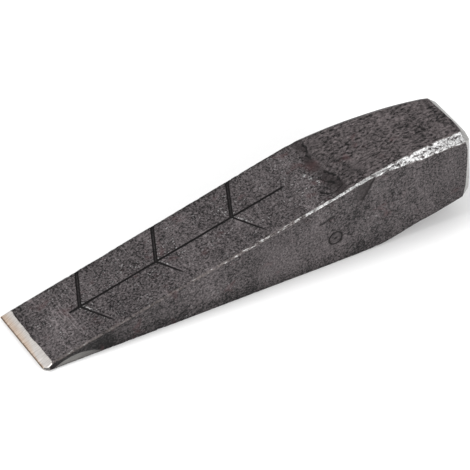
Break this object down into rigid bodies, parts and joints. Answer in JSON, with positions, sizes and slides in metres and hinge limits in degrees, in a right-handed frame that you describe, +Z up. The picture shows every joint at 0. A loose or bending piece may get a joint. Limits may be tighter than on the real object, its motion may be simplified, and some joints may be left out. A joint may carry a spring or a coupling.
{
  "type": "felling wedge",
  "caption": "Solid forged steel felling wedge with a ground bit, herringbone grooves on both flanks and a chamfered head to strike.",
  "frame": {"origin": "on the ground under the middle of the wedge's box, with the lower flank lying flat on z = 0", "axes": "+X from the bit towards the poll along the ground, +Y across the width, +Z up"},
  "size_m": [0.2254, 0.0422, 0.0483],
  "materials": {
    "forged_steel": "dark forge scale, with bare ground steel at the bit, along one corner of the head and around the poll"
  },
  "bodies": {
    "root": {"wedge_forging": "forged_steel"}
  },
  "joints": []
}
